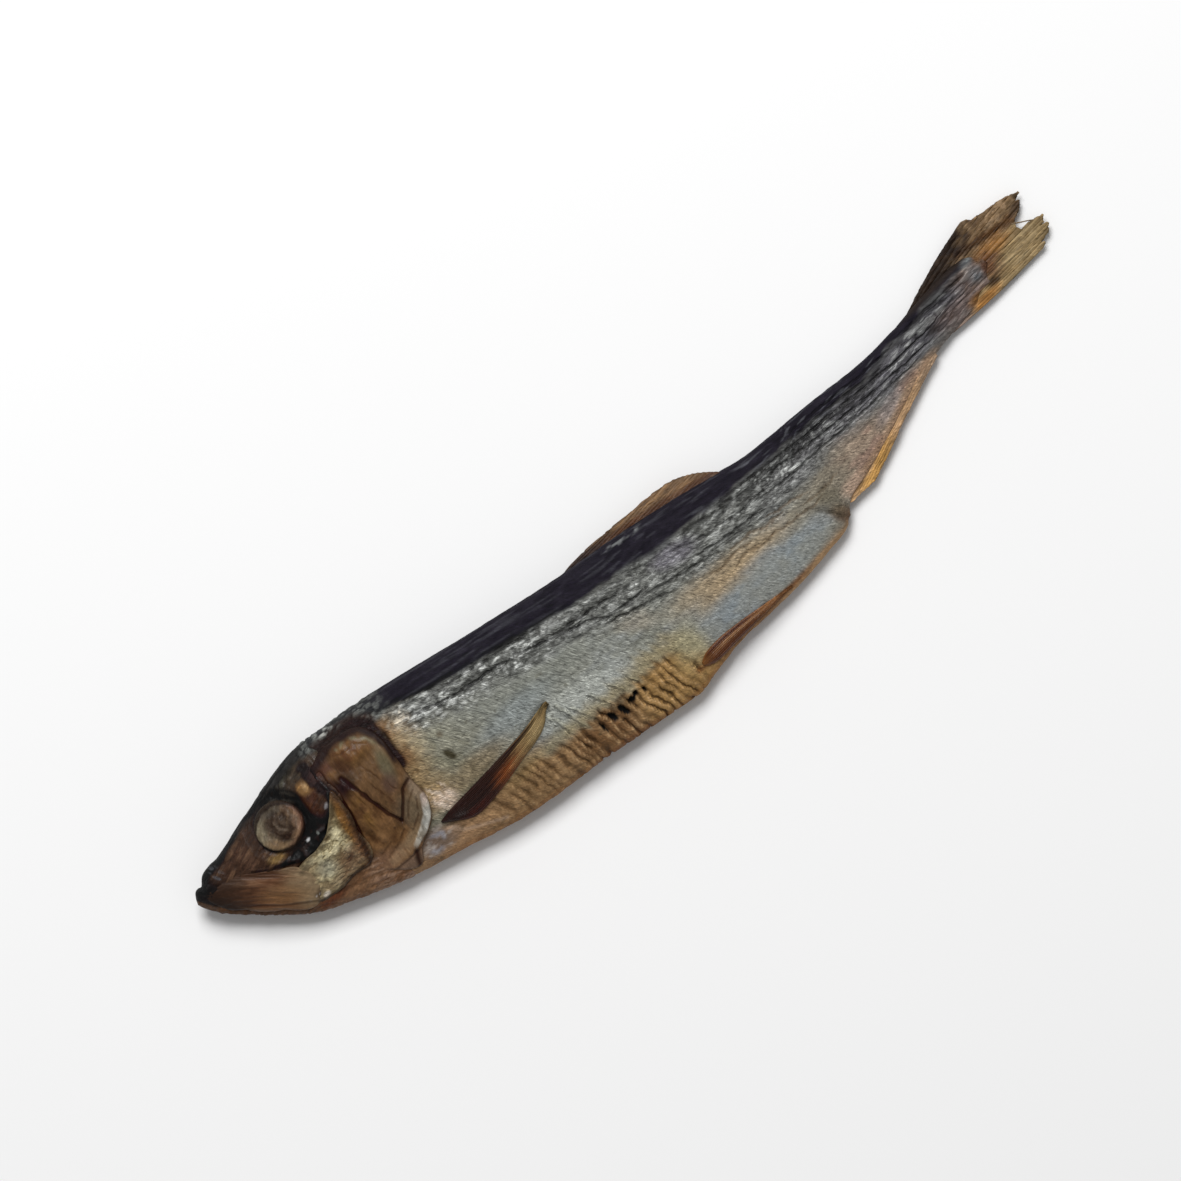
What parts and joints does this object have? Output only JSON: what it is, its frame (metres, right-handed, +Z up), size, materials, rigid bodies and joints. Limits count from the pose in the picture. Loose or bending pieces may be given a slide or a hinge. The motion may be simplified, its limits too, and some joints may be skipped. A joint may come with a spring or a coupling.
{
  "type": "dried herring",
  "caption": "Whole dried herring, ready to eat: it lies on its side, with shrunken flanks, sunken eyes, raised gill covers, folded fins and a torn tail.",
  "frame": {"origin": "on the surface that the fish lies on, under the middle of its bounding box", "axes": "+X from snout to tail, +Y from belly to back, +Z up from the right flank it rests on to the left flank"},
  "size_m": [0.241, 0.0478, 0.016],
  "materials": {
    "skin": "dry wrinkled fish skin, blue-black back and silver flanks, half gloss",
    "fin": "thin dried fin rays, dark brown to amber, satin",
    "eye": "shrunken dull brown eyeball with a tan ring"
  },
  "bodies": {
    "root": {"herring": "skin"}
  },
  "joints": []
}
